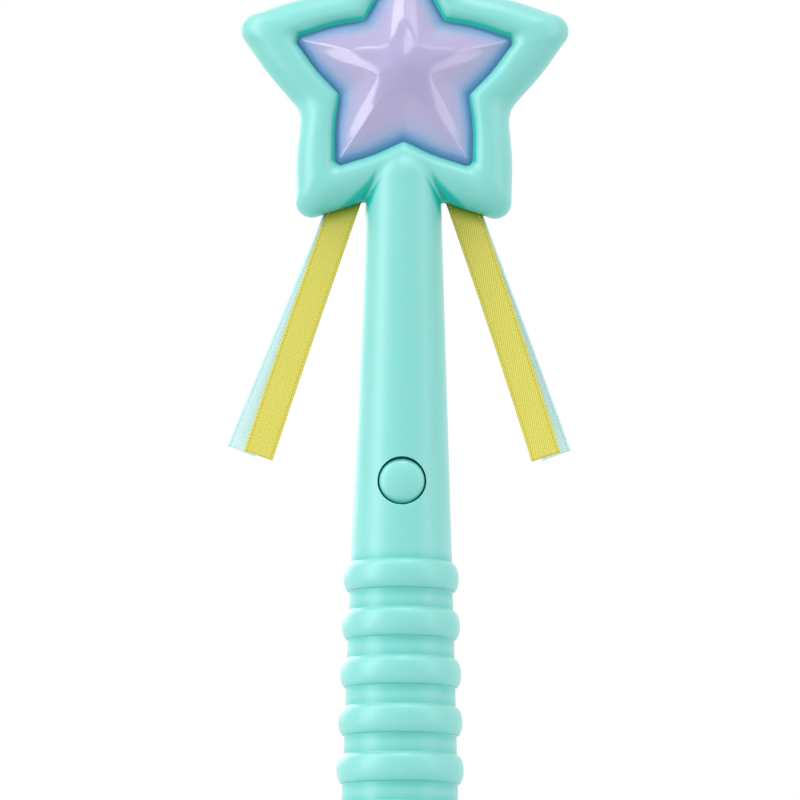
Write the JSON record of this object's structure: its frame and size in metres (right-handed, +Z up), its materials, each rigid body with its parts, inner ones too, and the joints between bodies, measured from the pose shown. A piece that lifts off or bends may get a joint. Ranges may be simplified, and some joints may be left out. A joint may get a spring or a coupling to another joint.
{
  "type": "toy magic wand",
  "caption": "Pretend-play fairy wand: puffy star with a clear faceted lens, ringed grip, light button, battery door and ribbon streamers.",
  "frame": {"origin": "middle of the flat butt face that the wand stands on", "axes": "+Z up along the wand to the star, -Y out of the lens and the button, +X to the right as seen from the front"},
  "size_m": [0.098, 0.0402, 0.2824],
  "materials": {
    "mint_plastic": "satin moulded ABS",
    "lens_clear": "polished clear plastic with fine prism lines on its back",
    "white_plastic": "moulded",
    "board_white": "solder mask",
    "board_green": "solder mask",
    "component_black": "moulded",
    "lamp_clear": "clear epoxy",
    "wire_red": "PVC insulation",
    "wire_black": "PVC insulation",
    "silicone": "moulded silicone",
    "screw_steel": "zinc plated",
    "spring_steel": "nickel plated",
    "cell_can": "plain shrink sleeve",
    "ribbon_yellow": "woven satin",
    "ribbon_blue": "woven satin"
  },
  "bodies": {
    "wand": {"front_shell": "mint_plastic", "rear_shell": "mint_plastic", "housing_screws": "screw_steel", "star_lens": "lens_clear", "reflector_tray": "white_plastic", "led_board": "board_white", "star_leds": "lamp_clear", "led_wires": "wire_red", "button_dome": "silicone", "control_board": "board_green", "board_components": "component_black", "board_screws": "screw_steel", "battery_cradle": "white_plastic", "battery_cell_left": "cell_can", "battery_cell_right": "cell_can", "battery_bridge": "spring_steel", "battery_negative_contact": "spring_steel", "battery_positive_contact": "spring_steel", "battery_wires": "wire_black", "ribbon_yellow_left": "ribbon_yellow", "ribbon_blue_left": "ribbon_blue", "ribbon_yellow_right": "ribbon_yellow", "ribbon_blue_right": "ribbon_blue"},
    "button": {"button_cap": "mint_plastic"},
    "door": {"battery_door": "mint_plastic"},
    "door_fastener": {"door_screw": "screw_steel"}
  },
  "joints": [
    {"name": "button_press", "type": "slide", "parent": "wand", "child": "button", "axis": [0, 1, 0], "range_m": [0, 0.0012], "stiffness_N_per_m": 600, "deforming": ["button_dome"]},
    {"name": "door_swing", "type": "hinge", "parent": "wand", "child": "door", "pos_m": [0, 0.0146, 0.08135], "axis": [1, 0, 0], "range_deg": [0, 60]},
    {"name": "door_screw_turn", "type": "hinge", "parent": "door", "child": "door_fastener", "pos_m": [0, 0.0136, 0.02], "axis": [0, 1, 0], "continuous": true}
  ]
}
